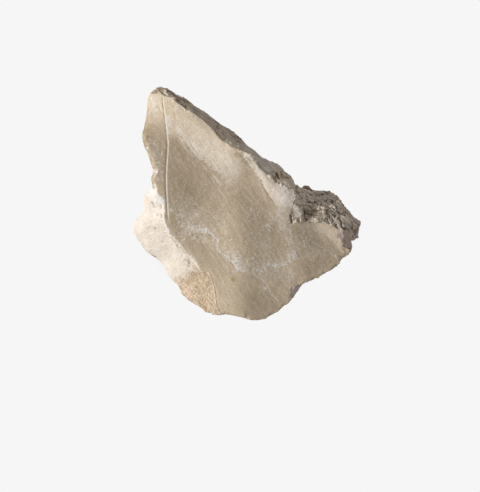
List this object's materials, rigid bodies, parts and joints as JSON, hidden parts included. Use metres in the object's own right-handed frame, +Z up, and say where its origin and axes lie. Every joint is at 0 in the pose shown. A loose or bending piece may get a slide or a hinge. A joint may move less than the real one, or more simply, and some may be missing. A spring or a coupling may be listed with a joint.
{
  "type": "rock fragment",
  "caption": "Broken fragment of pale, fine-grained stone with a smooth swelling face, rough broken edges and a rubbly corner, lying on its back.",
  "frame": {"origin": "under the middle of the stone's outline, on the plane of the flat spot it rests on", "axes": "+Z up from the flat spot through the smooth face, +Y towards the long pointed corner, +X towards the rubbly corner"},
  "size_m": [0.0816, 0.0834, 0.0359],
  "materials": {
    "stone": "matte"
  },
  "bodies": {
    "root": {"rock_fragment": "stone"}
  },
  "joints": []
}
